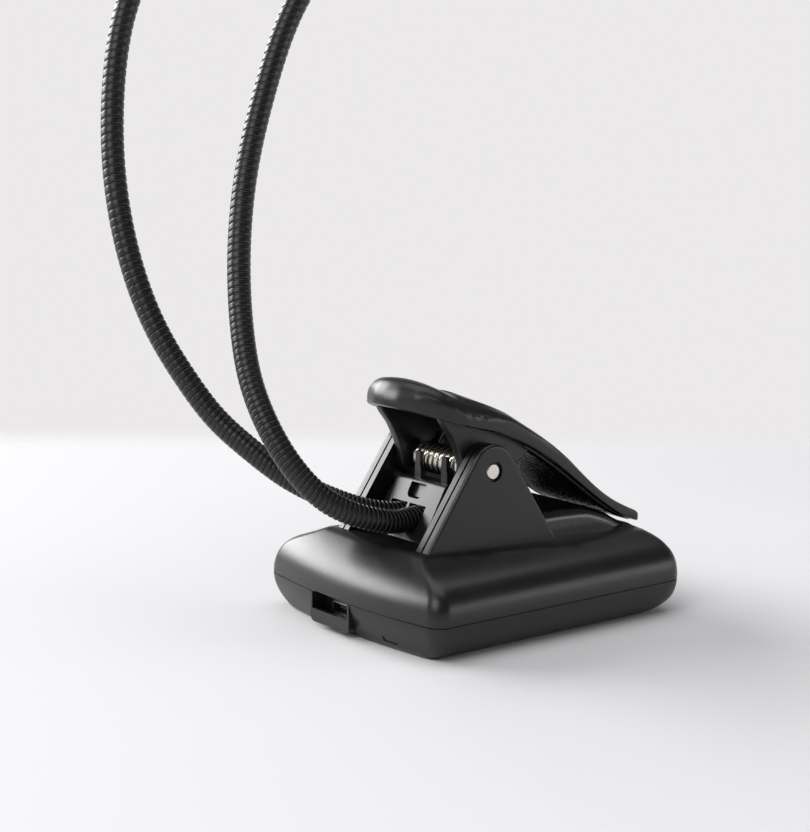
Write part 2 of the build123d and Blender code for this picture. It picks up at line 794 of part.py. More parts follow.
def print_neck_joints(side, neck):
    # Bends that raise or lower the head take turns with bends to the side
    for step, distance in enumerate(neck_joints(neck)):
        plane = neck.plane(distance)
        level = plane.z_dir.cross(Vector(0, 0, 1)).normalized()
        way = level if step % 2 == 0 else plane.z_dir.cross(level)
        print_joint(f"{side}_neck_{step + 1}", plane.origin, way)


def make_lamp():
    pieces = {
        "lower_shell": make_lower_shell(),
        "upper_shell": make_upper_shell(),
        "case_screws": make_case_screws(),
        "battery": make_battery(),
        "charge_board": make_charge_board(),
        "usb_port": make_usb_port(),
        "charge_light": make_charge_light(),
        "neck_clamp": make_neck_clamp(),
        "neck_cover": make_neck_cover(),
        "pivot_pin": make_pivot_pin(),
        "torsion_spring": make_spring(),
        "lower_jaw_pad": make_lower_pad(),
        "lever": make_lever(),
        "upper_jaw_pad": make_upper_pad(),
    }
    for side in ("right", "left"):
        neck = Neck(side)
        print(side, "neck length", round(neck.length, 1), "least radius", round(neck.least_radius(), 1))
        pieces.update(make_neck(side, neck))
        pieces.update(make_head(side, neck))
        print_neck_joints(side, neck)
        head_place = head_frame_of(neck)
        print_joint(f"{side}_button", head_place.origin, -head_place.z_dir)
    return pieces


os.makedirs("parts", exist_ok=True)
for name, piece in make_lamp().items():
    export_step(piece, f"parts/{name}.step")
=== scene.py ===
import bpy
import bmesh
import math
import numpy as np
from mathutils import Matrix, Vector


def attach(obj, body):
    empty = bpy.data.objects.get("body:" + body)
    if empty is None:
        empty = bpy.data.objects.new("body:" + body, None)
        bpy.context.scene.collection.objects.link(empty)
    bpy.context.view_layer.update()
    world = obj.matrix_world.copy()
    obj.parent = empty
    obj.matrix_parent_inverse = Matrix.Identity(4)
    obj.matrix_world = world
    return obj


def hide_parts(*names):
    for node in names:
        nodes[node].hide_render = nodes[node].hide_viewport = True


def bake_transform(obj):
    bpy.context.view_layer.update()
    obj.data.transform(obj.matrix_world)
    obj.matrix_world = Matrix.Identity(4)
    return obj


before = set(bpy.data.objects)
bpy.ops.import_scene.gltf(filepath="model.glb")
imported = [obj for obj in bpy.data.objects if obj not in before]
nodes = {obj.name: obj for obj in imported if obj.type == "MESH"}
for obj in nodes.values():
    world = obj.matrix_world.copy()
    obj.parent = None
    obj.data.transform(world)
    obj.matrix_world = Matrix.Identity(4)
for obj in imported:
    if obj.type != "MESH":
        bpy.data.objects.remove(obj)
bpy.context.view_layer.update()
print("frame loaded,", len(nodes), "nodes")

mm = 0.001

# Materials. Colours are sRGB hex, turned to linear in one place.


def linear(hexColour):
    # the sRGB curve, undone
    levels = [int(hexColour[i:i + 2], 16) / 255 for i in (0, 2, 4)]
    return [c / 12.92 if c <= 0.04045 else ((c + 0.055) / 1.055) ** 2.4 for c in levels] + [1.0]


def addNode(tree, kind, values=None, **links):
    # one node with its settings; links are given by input name, with _ for a space, or as in0, in1
    node = tree.nodes.new(kind)
    for key, value in (values or {}).items():
        if isinstance(key, int) or key in node.inputs:
            node.inputs[key].default_value = value
        else:
            setattr(node, key, value)
    for name, socket in links.items():
        place = int(name[2:]) if name.startswith("in") and name[2:].isdigit() else name.replace("_", " ")
        tree.links.new(socket, node.inputs[place])
    return node


def startMaterial(name, hexColour, **values):
    material = bpy.data.materials.new(name)
    material.use_nodes = True
    tree = material.node_tree
    tree.nodes.clear()
    shader = addNode(tree, "ShaderNodeBsdfPrincipled", {"Base Color": linear(hexColour)})
    for key, value in values.items():
        shader.inputs[key.replace("_", " ")].default_value = value
    output = addNode(tree, "ShaderNodeOutputMaterial")
    tree.links.new(shader.outputs["BSDF"], output.inputs["Surface"])
    coords = addNode(tree, "ShaderNodeTexCoord").outputs["Object"]
    return material, tree, shader, coords


def noise(tree, coords, size, detail):
    # a noise whose features are about size millimetres across
    settings = {"Scale": 1 / (size * mm), "Detail": detail, "Roughness": 0.5}
    return addNode(tree, "ShaderNodeTexNoise", settings, Vector=coords).outputs["Fac"]


def spread(tree, value, low, high, fromLow=0.3, fromHigh=0.7):
    return addNode(tree, "ShaderNodeMapRange", {"From Min": fromLow, "From Max": fromHigh, "To Min": low,
                                                "To Max": high}, Value=value).outputs["Result"]


def tint(tree, value, darkHex, lightHex):
    mix = addNode(tree, "ShaderNodeMix", {"data_type": "RGBA"})
    tree.links.new(value, mix.inputs[0])
    mix.inputs[6].default_value = linear(darkHex)
    mix.inputs[7].default_value = linear(lightHex)
    return mix.outputs[2]


def bump(tree, height, depth):
    return addNode(tree, "ShaderNodeBump", {"Strength": 1.0, "Distance": depth * mm},
                   Height=height).outputs["Normal"]


def mouldedPlastic(name, plastic):
    # injection-moulded, spark-eroded grain: soft broad highlights and a slight cloudiness
    material, tree, shader, coords = startMaterial(name, plastic["colour"], IOR=1.5)
    cloud = noise(tree, coords, size=14, detail=3)
    grain = noise(tree, coords, size=plastic["grain"], detail=2)
    tree.links.new(tint(tree, spread(tree, cloud, 0, 1), plastic["colour"], plastic["colourLight"]),
                   shader.inputs["Base Color"])
    tree.links.new(spread(tree, cloud, plastic["roughLow"], plastic["roughHigh"]),
                   shader.inputs["Roughness"])
    tree.links.new(bump(tree, grain, plastic["grainDepth"]), shader.inputs["Normal"])
    return material


# ABS, black: the grain is a guess, drawn coarse enough to show
housingAbs = mouldedPlastic("satinBlackAbs", {"colour": "0b0c0d", "colourLight": "111214", "roughLow": 0.3,
                                              "roughHigh": 0.36, "grain": 0.25, "grainDepth": 0.004})
blockAbs = mouldedPlastic("smoothBlackAbs", {"colour": "101113", "colourLight": "16171a", "roughLow": 0.3,
                                             "roughHigh": 0.35, "grain": 0.2, "grainDepth": 0.002})
headAbs = mouldedPlastic("satinBlackAbsHead", {"colour": "0d0e10", "colourLight": "131416",
                                               "roughLow": 0.38, "roughHigh": 0.44, "grain": 0.25,
                                               "grainDepth": 0.004})


def mouldedRubber():
    # TPU pad from a polished mould: near black, semi-gloss, with a slight orange peel
    material, tree, shader, coords = startMaterial("polishedTpu", "070708", IOR=1.5, Coat_Weight=0.3,
                                                   Coat_Roughness=0.12)
    peel = noise(tree, coords, size=1.8, detail=2)
    tree.links.new(spread(tree, peel, low=0.22, high=0.3), shader.inputs["Roughness"])
    tree.links.new(bump(tree, peel, depth=0.02), shader.inputs["Normal"])
    return material


def woundSteel():
    # strip steel wound into a hose and enamelled black: semi-gloss, a little uneven all over
    material, tree, shader, coords = startMaterial("enamelledSteelStrip", "08090a", IOR=1.5)
    drawn = noise(tree, coords, size=0.6, detail=3)
    shade = noise(tree, coords, size=6, detail=2)
    tree.links.new(tint(tree, spread(tree, shade, 0, 1), "060707", "0d0e0f"), shader.inputs["Base Color"])
    tree.links.new(spread(tree, drawn, low=0.3, high=0.42), shader.inputs["Roughness"])
    tree.links.new(bump(tree, drawn, depth=0.006), shader.inputs["Normal"])
    return material


def nickelPlate(name, hexColour, low, high):
    # plated or bare metal, bright to satin: hairline wear in one direction
    material, tree, shader, coords = startMaterial(name, hexColour, Metallic=1.0)
    mapping = addNode(tree, "ShaderNodeMapping", {"Scale": (1, 0.15, 1)}, Vector=coords)
    hair = noise(tree, mapping.outputs["Vector"], size=0.15, detail=3)
    tree.links.new(spread(tree, hair, low, high), shader.inputs["Roughness"])
    tree.links.new(bump(tree, hair, depth=0.002), shader.inputs["Normal"])
    return material


def solderMask():
    # FR4 board under green lacquer, with the copper tracks showing as lighter bands
    material, tree, shader, coords = startMaterial("greenSolderMask", "0d3a1c", IOR=1.5)
    # bricks of 1.25 by 0.63 mm stand for the fields between the tracks
    fields = {"Scale": 400.0, "Mortar Size": 0.06, "Color1": linear("0d3a1c"), "Color2": linear("0a3018"),
              "Mortar": linear("1c6a36")}
    tracks = addNode(tree, "ShaderNodeTexBrick", fields, Vector=coords)
    tree.links.new(tracks.outputs["Color"], shader.inputs["Base Color"])
    lacquer = noise(tree, coords, size=2, detail=2)
    tree.links.new(spread(tree, lacquer, low=0.28, high=0.36), shader.inputs["Roughness"])
    return material


def frostedLens():
    # polycarbonate diffuser, frosted inside: milky white with a soft sheen
    material, tree, shader, coords = startMaterial("frostedPolycarbonate", "e4e5e3", IOR=1.58)
    frost = noise(tree, coords, size=0.5, detail=3)
    shade = noise(tree, coords, size=9, detail=2)
    tree.links.new(tint(tree, spread(tree, shade, 0, 1), "d9dad8", "ececea"), shader.inputs["Base Color"])
    tree.links.new(spread(tree, frost, low=0.3, high=0.45), shader.inputs["Roughness"])
    tree.links.new(bump(tree, frost, depth=0.004), shader.inputs["Normal"])
    return material


def phosphorLed():
    # yellow phosphor gel, grainy close up
    material, tree, shader, coords = startMaterial("yellowPhosphor", "e3cf7a", IOR=1.45)
    grains = noise(tree, coords, size=0.15, detail=2)
    tree.links.new(tint(tree, spread(tree, grains, 0, 1), "d7bd55", "ece0a4"), shader.inputs["Base Color"])
    tree.links.new(spread(tree, grains, low=0.35, high=0.5), shader.inputs["Roughness"])
    return material


def shrinkWrap():
    # pale blue PVC sleeve shrunk on the cell
    material, tree, shader, coords = startMaterial("blueShrinkSleeve", "5f7f9f", IOR=1.53)
    folds = noise(tree, coords, size=4, detail=3)
    tree.links.new(tint(tree, spread(tree, folds, 0, 1), "577694", "6a8bab"), shader.inputs["Base Color"])
    tree.links.new(spread(tree, folds, low=0.25, high=0.4), shader.inputs["Roughness"])
    tree.links.new(bump(tree, folds, depth=0.05), shader.inputs["Normal"])
    return material


def smokedAcrylic():
    # dark and polished: the light guide and the switches under the buttons
    material, tree, shader, coords = startMaterial("smokedAcrylic", "050506", IOR=1.49)
    haze = noise(tree, coords, size=1.2, detail=2)
    tree.links.new(spread(tree, haze, low=0.1, high=0.2), shader.inputs["Roughness"])
    return material


def siliconeKey():
    # moulded silicone button: matt with a powdery feel
    material, tree, shader, coords = startMaterial("blackSilicone", "0e0e10", IOR=1.41)
    powder = noise(tree, coords, size=0.3, detail=2)
    tree.links.new(tint(tree, spread(tree, powder, 0, 1), "0c0c0e", "151517"), shader.inputs["Base Color"])
    tree.links.new(spread(tree, powder, low=0.5, high=0.62), shader.inputs["Roughness"])
    tree.links.new(bump(tree, powder, depth=0.004), shader.inputs["Normal"])
    return material


padTpu = mouldedRubber()
hoseSteel = woundSteel()
pinNickel = nickelPlate("brightNickelPin", "ded9cf", 0.24, 0.34)
wireNickel = nickelPlate("brightNickelWire", "d9d4c9", 0.16, 0.26)
screwZinc = nickelPlate("zincPlatedScrew", "9a9da2", 0.3, 0.45)
portSteel = nickelPlate("stampedStainless", "8f9194", 0.28, 0.4)
boardMask = solderMask()
lensPc = frostedLens()
ledPhosphor = phosphorLed()
cellSleeve = shrinkWrap()
guideAcrylic = smokedAcrylic()
keySilicone = siliconeKey()

nodeFinishes = {
    "lower_shell": housingAbs, "upper_shell": housingAbs, "lever": housingAbs, "neck_clamp": blockAbs,
    "neck_cover": blockAbs, "lower_jaw_pad": padTpu, "upper_jaw_pad": padTpu, "pivot_pin": pinNickel,
    "torsion_spring": wireNickel, "case_screws": screwZinc, "usb_port": portSteel,
    "charge_light": guideAcrylic, "battery": cellSleeve, "charge_board": boardMask,
    "neck_collar": headAbs, "head_cover": headAbs, "head_frame": headAbs, "head_lens": lensPc,
    "light_board": boardMask, "leds": ledPhosphor, "button_switch": smokedAcrylic(),
    "head_button": keySilicone}
for name, node in nodes.items():
    plainName = name.replace("right_", "").replace("left_", "")
    finish = hoseSteel if plainName.startswith("neck_stretch") or plainName.startswith("neck_flex") \
        else nodeFinishes[plainName]
    node.data.materials.clear()
    node.data.materials.append(finish)
print("materials on the CAD nodes")


def finishPiece(mesh, name, material, body, smoothAngle):
    # a bmesh becomes an object at the origin, smooth but with its hard edges kept
    bmesh.ops.recalc_face_normals(mesh, faces=mesh.faces)
    for face in mesh.faces:
        face.smooth = True
    for edge in mesh.edges:
        if len(edge.link_faces) == 2 and edge.calc_face_angle(0) > math.radians(smoothAngle):
            edge.smooth = False
    data = bpy.data.meshes.new(name)
    mesh.to_mesh(data)
    mesh.free()
    piece = bpy.data.objects.new(name, data)
    bpy.context.collection.objects.link(piece)
    data.materials.append(material)
    if body:
        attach(piece, body)
    return piece


# Necks: strip wound on a helix, then laid along each neck's middle line

neck = {
    "crest": 2.65, "sides": 30, "length": 231.0, "start": (-9.8, 23.5),
    # the middle line is read this finely between two points, and runs on past its last one
    "curveSteps": 60, "overrun": 80, "merge": 0.002, "smoothAngle": 60,
    # the strip is wound closer near the block: its pitch grows along the neck up to a greatest value
    "firstPitch": 1.0, "pitchFrom": 14.0, "pitchGrowth": 0.0098, "lastPitch": 1.95,
    # one turn's outline, as a share of the pitch and the depth below the crest
    "strip": [(0.0, 0.23), (0.05, 0.23), (0.1, 0.07), (0.17, 0.015), (0.3, 0.0), (0.7, 0.0), (0.83, 0.015),
              (0.9, 0.07), (0.95, 0.23), (1.0, 0.23)],
    "joints": [24, 59, 94, 129, 164, 199], "bend": 10.0, "stationStep": 0.5, "endTrim": 0.2,
    "routes": {
        "right": [(-14, -1.1, 23.5), (-16.9, -1.1, 23.5), (-21.9, -1, 23.3), (-26.3, -0.4, 24.2),
                  (-29.9, 0.8, 25.3), (-35.5, 4, 28.3), (-39.7, 8.7, 33.6), (-43, 17.4, 45),
                  (-42.9, 23.6, 53.6), (-41.4, 28.8, 62.2), (-36.8, 37.3, 80), (-30.3, 44, 98.2),
                  (-21.9, 48.5, 117.2), (-12.4, 50, 136.2), (-1.5, 47.5, 151), (8.5, 40.5, 162),
                  (16.5, 30, 168.5), (22.5, 17.5, 170)],
        "left": [(-14, 5.3, 23.5), (-16.8, 5.3, 23.5), (-22.3, 7.6, 24.3), (-28.8, 13.2, 26.9),
                 (-34.8, 20.5, 30.9), (-40.2, 28, 36.9), (-44.4, 34.8, 43), (-48.4, 41.5, 51.8),
                 (-51.4, 47.6, 61), (-53.9, 57.1, 79.4), (-53.2, 64.3, 98), (-50.1, 69.4, 117),
                 (-44.5, 72, 136), (-35, 72, 151.5), (-21.5, 70, 163), (-5, 67, 169), (4, 65, 170.2)]}}


def routeStations(points):
    # positions at even steps along a smooth curve through the points, straight at both ends
    places = np.array(points, float)
    knots = np.concatenate([[0], np.cumsum(np.linalg.norm(np.diff(places, axis=0), axis=1))])
    count = len(places)

    def endSlope(first, step):
        picked = [first + step * i for i in range(4)]
        slope = np.zeros(3)
        for i in picked:
            for j in picked:
                if j == i:
                    continue
                part = 1 / (knots[i] - knots[j])
                for k in picked:
                    if k not in (i, j):
                        part *= (knots[first] - knots[k]) / (knots[i] - knots[k])
                slope += places[i] * part
        return slope

    system = np.zeros((count, count))
    wanted = np.zeros((count, 3))
    system[0, 0] = system[-1, -1] = 1
    wanted[0] = endSlope(0, 1)
    wanted[-1] = endSlope(count - 1, -1)
    for i in range(1, count - 1):
        before, after = knots[i] - knots[i - 1], knots[i + 1] - knots[i]
        system[i, i - 1:i + 2] = (after, 2 * (before + after), before)
        wanted[i] = 3 * (after * (places[i] - places[i - 1]) / before
                         + before * (places[i + 1] - places[i]) / after)
    slopes = np.linalg.solve(system, wanted)
    fine = [np.array([neck["start"][0], places[0][1], neck["start"][1]])]
    for i in range(count - 1):
        span = knots[i + 1] - knots[i]
        for t in np.linspace(0, 1, neck["curveSteps"], endpoint=False):
            fine.append((1 + 2 * t) * (1 - t) ** 2 * places[i] + t * (1 - t) ** 2 * span * slopes[i]
                        + t * t * (3 - 2 * t) * places[i + 1] - t * t * (1 - t) * span * slopes[i + 1])
    fine.append(places[-1])
    fine.append(places[-1] + slopes[-1] / np.linalg.norm(slopes[-1]) * neck["overrun"])
    fine = np.array(fine)
    run = np.concatenate([[0], np.cumsum(np.linalg.norm(np.diff(fine, axis=0), axis=1))])
    steps = np.arange(0, neck["length"] + neck["stationStep"], neck["stationStep"])
    spots = np.stack([np.interp(steps, run, fine[:, k]) for k in range(3)], axis=1)
    ways = np.gradient(spots, axis=0)
    ways /= np.linalg.norm(ways, axis=1)[:, None]
    crosses = np.zeros_like(spots)
    cross = np.array([0.0, 1.0, 0.0])
    for i, way in enumerate(ways):
        cross = cross - way * (cross @ way)
        cross /= np.linalg.norm(cross)
        crosses[i] = cross
    return steps, spots, ways, crosses


def turnsAlong(steps):
    # how many turns of the strip lie below each station
    pitches = np.minimum(neck["lastPitch"], neck["firstPitch"]
                         + neck["pitchGrowth"] * np.maximum(0, steps - neck["pitchFrom"]))
    return np.concatenate([[0], np.cumsum(neck["stationStep"] / ((pitches[1:] + pitches[:-1]) / 2))])


def oneTurn():
    # the strip's outline swept once round, rising by one unit, so that each turn meets the next
    mesh = bmesh.new()
    corners = [mesh.verts.new((neck["crest"] - depth, 0, share)) for share, depth in neck["strip"]]
    edges = [mesh.edges.new(pair) for pair in zip(corners, corners[1:])]
    bmesh.ops.spin(mesh, geom=corners + edges, cent=(0, 0, 0), axis=(0, 0, 1),
                   dvec=(0, 0, 1 / neck["sides"]), angle=2 * math.pi, steps=neck["sides"],
                   use_merge=False, use_duplicate=False)
    turn = bpy.data.meshes.new("stripTurn")
    mesh.to_mesh(turn)
    mesh.free()
    return turn


def woundHose(turn, low, high):
    # turns stacked from one height to another, counted in turns, and cut off square
    mesh = bmesh.new()
    for step in range(math.floor(low) - 1, math.ceil(high) + 1):
        before = len(mesh.verts)
        mesh.from_mesh(turn)
        mesh.verts.ensure_lookup_table()
        bmesh.ops.translate(mesh, verts=mesh.verts[before:], vec=(0, 0, step))
    bmesh.ops.remove_doubles(mesh, verts=mesh.verts, dist=neck["merge"])
    for height, upper in ((low, False), (high, True)):
        bmesh.ops.bisect_plane(mesh, geom=mesh.verts[:] + mesh.edges[:] + mesh.faces[:], dist=0.0001,
                               plane_co=(0, 0, height), plane_no=(0, 0, 1), clear_outer=upper,
                               clear_inner=not upper)
    return mesh


def layAlong(piece, steps, spots, ways, crosses, turns):
    # the straight hose follows its neck: heights in turns become distances along the route
    data = piece.data
    corners = np.zeros(len(data.vertices) * 3)
    data.vertices.foreach_get("co", corners)
    corners = corners.reshape(-1, 3)
    along = np.interp(corners[:, 2], turns, steps)

    def at(rows):
        return np.stack([np.interp(along, steps, rows[:, k]) for k in range(3)], axis=1)

    cross = at(crosses)
    third = np.cross(at(ways), cross)
    placed = (at(spots) + cross * corners[:, :1] + third * corners[:, 1:2]) * mm
    data.vertices.foreach_set("co", placed.ravel())
    data.update()


def neckPieces(side, turn):
    steps, spots, ways, crosses = routeStations(neck["routes"][side])
    turns = turnsAlong(steps)
    joints = neck["joints"]
    between = [(a + b) / 2 for a, b in zip(joints, joints[1:])]
    cuts = [neck["endTrim"], *between, neck["length"] - neck["endTrim"]]
    for step, joint in enumerate(joints):
        low, high = np.interp(cuts[step:step + 2], steps, turns)
        made = finishPiece(woundHose(turn, low, high), f"{side}Hose{step + 1}", hoseSteel, None,
                           neck["smoothAngle"])
        layAlong(made, steps, spots, ways, crosses, turns)
        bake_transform(made)
        replaced = [f"{side}_neck_stretch_{step + 1}", f"{side}_neck_flex_{step + 1}"]
        if step == 0:
            replaced.append(f"{side}_neck_stretch_0")
        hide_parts(*replaced)


stripTurn = oneTurn()
for side in ("right", "left"):
    neckPieces(side, stripTurn)
print("necks wound and laid")


# Torsion spring: nickel wire on the pin, with its two legs

spring = {"wire": 0.65, "coil": 2.8, "pitch": 1.8, "turns": 9, "leg": 7.0, "sides": 14, "perTurn": 40,
          "pin": (-6.85, 35.0), "startAngle": -0.6, "smoothAngle": 60}


def springCoil():
    mesh = bmesh.new()
    turn = spring["startAngle"]
    climb = spring["pitch"] / (2 * math.pi * spring["coil"])
    way = Vector((-math.sin(turn), climb, math.cos(turn))).normalized()
    ring = bmesh.ops.create_circle(mesh, segments=spring["sides"], radius=spring["wire"],
                                   cap_ends=False)["verts"]
    place = Vector((spring["coil"] * math.cos(turn), -spring["turns"] * spring["pitch"] / 2,
                    spring["coil"] * math.sin(turn)))
    facing = way.to_track_quat("Z", "X").to_matrix().to_4x4()
    bmesh.ops.transform(mesh, matrix=Matrix.Translation(place) @ facing, verts=ring)
    startEdges = mesh.edges[:]
    steps = spring["turns"] * spring["perTurn"]
    spun = bmesh.ops.spin(mesh, geom=ring + startEdges, cent=(0, 0, 0), axis=(0, -1, 0),
                          dvec=(0, spring["pitch"] / spring["perTurn"], 0),
                          angle=spring["turns"] * 2 * math.pi, steps=steps, use_merge=False,
                          use_duplicate=False)
    lastEdges = [item for item in spun["geom_last"] if isinstance(item, bmesh.types.BMEdge)]
    for edges, shift in ((startEdges, -way), (lastEdges, way)):
        grown = bmesh.ops.extrude_edge_only(mesh, edges=edges)["geom"]
        corners = [item for item in grown if isinstance(item, bmesh.types.BMVert)]
        bmesh.ops.translate(mesh, verts=corners, vec=shift * spring["leg"])
        bmesh.ops.edgeloop_fill(mesh, edges=[item for item in grown
                                             if isinstance(item, bmesh.types.BMEdge)])
    bmesh.ops.translate(mesh, verts=mesh.verts, vec=(spring["pin"][0], 0, spring["pin"][1]))
    bmesh.ops.scale(mesh, verts=mesh.verts, vec=(mm, mm, mm))
    piece = finishPiece(mesh, "torsionSpringWire", wireNickel, "base",
                        spring["smoothAngle"])
    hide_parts("torsion_spring")


springCoil()
print("spring wound")

# Lever and pads: each one is two sheets laid over an outline, joined round the rim

sheetGrid = {"along": 96, "across": 48}
lever = {
    "half": 14.0, "tip": 40.0, "tipCorner": 1.4, "smoothAngle": 35,
    # the paddle's rounded end seen from above, as distance from the middle and x
    "nose": [(0, -24.4), (4, -24.1), (8.7, -22.3), (12, -18.8), (13.4, -15.8), (14, -12.6)],
    "upper": [(-25.4, 52.0), (-21.2, 54.3), (-14, 52.7), (-5.6, 49.3), (4.6, 43.9), (15.6, 36.5),
              (27.6, 26.4), (33.4, 22.8), (39.4, 20.0)],
    "lower": [(-25.4, 49.4), (-14.8, 45.7), (-0.7, 41.6), (10.4, 35.9), (27.1, 24.2), (34.4, 19.8),
              (39.4, 17.7)],
    # rounding of the upper and lower rim, and how far the sides hang below the middle, along the lever
    "upperRound": [(-24.4, 3.1), (-19, 3.6), (-12, 3.4), (0, 2.6), (10, 1.9), (15, 1.4), (39.4, 0.9)],
    "lowerRound": [(-24.4, 0.3), (-14, 0.5), (0, 0.9), (39.4, 0.6)],
    "crown": [(-14, 1.7), (1, 0.1), (39.4, 0.0)],
    "skin": 2.2, "pocketEnd": 4.6, "pocketEdge": 0.6,
    "panel": {"half": 11.4, "front": -9.5, "sweep": 4.0, "rear": 31.0, "corner": 3.0, "rise": 0.45,
              "edge": 0.5},
    "dish": {"x": -14.5, "halfLong": 3.4, "halfWide": 5.5, "depth": 0.5, "steepness": 3},
    "web": {"inner": 9.6, "outer": 12.0, "bevel": 0.35, "pinRadius": 5.0, "soleSteps": 16,
            "front": [(-18.4, 50.0), (-18.2, 47.8), (-17.0, 45.6), (-14.8, 42.8), (-13.4, 40.2),
                      (-12.5, 38.2), (-12.0, 36.2)],
            "rear": [(3.4, 35.0), (8.2, 38.4), (6.5, 40.8), (-0.7, 44.6), (-10.0, 49.4), (-16.0, 51.2)]}}
pads = {
    "upper": {"from": 5.2, "to": 39.0, "half": 12.3, "round": 1.0, "seat": 0.5,
              "proud": [(5.2, 0.9), (30, 0.9), (39, 0.3)]},
    "lower": {"from": 4.6, "to": 39.2, "half": 14.8, "round": 3.0, "floor": 15.2, "leastHeight": 0.1,
              "top": [(4.6, 23.9), (12.6, 23.9), (18, 23.7), (22.4, 23.3), (27, 21.9), (29.5, 20.9),
                      (32, 19.5), (35, 18.1), (39.2, 17.2)]},
    "smoothAngle": 50}


def smoothCurve(points, xs):
    # a natural cubic through the points, read at the given xs
    px, pz = np.array(points, float).T
    count = len(px)
    gaps = np.diff(px)
    system = np.eye(count)
    wanted = np.zeros(count)
    for i in range(1, count - 1):
        system[i, i - 1:i + 2] = (gaps[i - 1], 2 * (gaps[i - 1] + gaps[i]), gaps[i])
        wanted[i] = 6 * ((pz[i + 1] - pz[i]) / gaps[i] - (pz[i] - pz[i - 1]) / gaps[i - 1])
    bend = np.linalg.solve(system, wanted)
    k = np.clip(np.searchsorted(px, xs) - 1, 0, count - 2)
    h, left, right = gaps[k], px[k + 1] - xs, xs - px[k]
    curved = (bend[k] * left ** 3 + bend[k + 1] * right ** 3) / (6 * h)
    return curved + (pz[k] / h - bend[k] * h / 6) * left + (pz[k + 1] / h - bend[k + 1] * h / 6) * right


def line(points, xs):
    px, pz = np.array(points, float).T
    return np.interp(xs, px, pz)


def ease(value):
    value = np.clip(value, 0, 1)
    return value * value * (3 - 2 * value)


def roundDrop(radius, inward):
    return radius - np.sqrt(np.maximum(radius ** 2 - np.maximum(radius - inward, 0) ** 2, 0))


def sheetPair(outline, heights):
    # outline(u, v) lays the unit square on the plan; heights gives each sheet's z from x, y and the
    # distance inwards from the rim; the grid is finer towards the rim, where the edges round over
    mesh = bmesh.new()
    for upper in (True, False):
        before = len(mesh.verts)
        bmesh.ops.create_grid(mesh, x_segments=sheetGrid["along"],
                              y_segments=sheetGrid["across"], size=1)
        mesh.verts.ensure_lookup_table()
        corners = mesh.verts[before:]
        u = np.array([0.5 - 0.5 * math.cos(math.pi * (c.co.x + 1) / 2) for c in corners])
        v = np.array([math.sin(math.pi / 2 * c.co.y) for c in corners])
        x, y = outline(u, v)
        rim = np.array([c.is_boundary for c in corners])
        inward = np.min(np.hypot(x[:, None] - x[rim][None], y[:, None] - y[rim][None]), axis=1)
        z = heights(x, y, inward, upper)
        for corner, place in zip(corners, np.stack([x, y, z], axis=1)):
            corner.co = place * mm
    bmesh.ops.bridge_loops(mesh, edges=[edge for edge in mesh.edges if edge.is_boundary])
    return mesh


def leverOutline(u, v):
    half = lever["half"]
    y = v * half
    nose = line(lever["nose"], np.abs(y))
    over = np.clip(np.abs(y) - (half - lever["tipCorner"]), 0, lever["tipCorner"])
    tip = lever["tip"] - roundDrop(lever["tipCorner"], lever["tipCorner"] - over)
    return nose + (tip - nose) * u, y


def leverHeights(x, y, inward, upper):
    top = smoothCurve(lever["upper"], x) - line(lever["crown"], x) * (y / lever["panel"]["half"]) ** 2
    if upper:
        panel, dish = lever["panel"], lever["dish"]
        front = panel["front"] - panel["sweep"] * (y / panel["half"]) ** 2
        # how far a point lies inside the panel's rounded outline
        insideX = np.minimum(x - front, panel["rear"] - x)
        insideY = panel["half"] - np.abs(y)
        cornerX = np.minimum(insideX - panel["corner"], 0)
        cornerY = np.minimum(insideY - panel["corner"], 0)
        inside = panel["corner"] - np.hypot(cornerX, cornerY)
        raised = panel["rise"] * ease(np.where((insideX < 0) | (insideY < 0), 0, inside) / panel["edge"])
        reach = np.hypot((x - dish["x"]) / dish["halfLong"], y / dish["halfWide"])
        sunk = dish["depth"] * ease((1 - reach) * dish["steepness"])
        return top + raised - sunk - roundDrop(line(lever["upperRound"], x), inward)
    rimZ = smoothCurve(lever["lower"], x) + roundDrop(line(lever["lowerRound"], x), inward)
    hollow = ease((inward - lever["skin"]) / lever["pocketEdge"])
    hollow *= ease((lever["pocketEnd"] - x) / lever["pocketEdge"])
    return rimZ + (top - lever["skin"] - rimZ) * hollow


def plate(mesh, outline, low, high, bevel):
    # a flat outline in x and z, given a thickness in y and softened edges
    corners = [mesh.verts.new((x * mm, low * mm, z * mm)) for x, z in outline]
    base = mesh.faces.new(corners)
    grown = bmesh.ops.extrude_face_region(mesh, geom=[base])["geom"]
    bmesh.ops.translate(mesh, verts=[item for item in grown if isinstance(item, bmesh.types.BMVert)],
                        vec=(0, (high - low) * mm, 0))
    rims = [edge for face in (base, *(item for item in grown if isinstance(item, bmesh.types.BMFace)))
            for edge in face.edges]
    bmesh.ops.bevel(mesh, geom=list(set(rims)), offset=bevel * mm, segments=3, profile=0.5, affect="EDGES",
                    material=-1)


def clampLever():
    mesh = sheetPair(leverOutline, leverHeights)
    web, (pinX, pinZ) = lever["web"], spring["pin"]
    turns = [math.pi * (1 + step / web["soleSteps"]) for step in range(web["soleSteps"] + 1)]
    sole = [(pinX + web["pinRadius"] * math.cos(turn), pinZ + web["pinRadius"] * math.sin(turn))
            for turn in turns]
    for low, high in ((web["inner"], web["outer"]), (-web["outer"], -web["inner"])):
        plate(mesh, web["front"] + sole + web["rear"], low, high, web["bevel"])
    piece = finishPiece(mesh, "clampLever", housingAbs, "clamp_lever",
                        lever["smoothAngle"])
    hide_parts("lever")


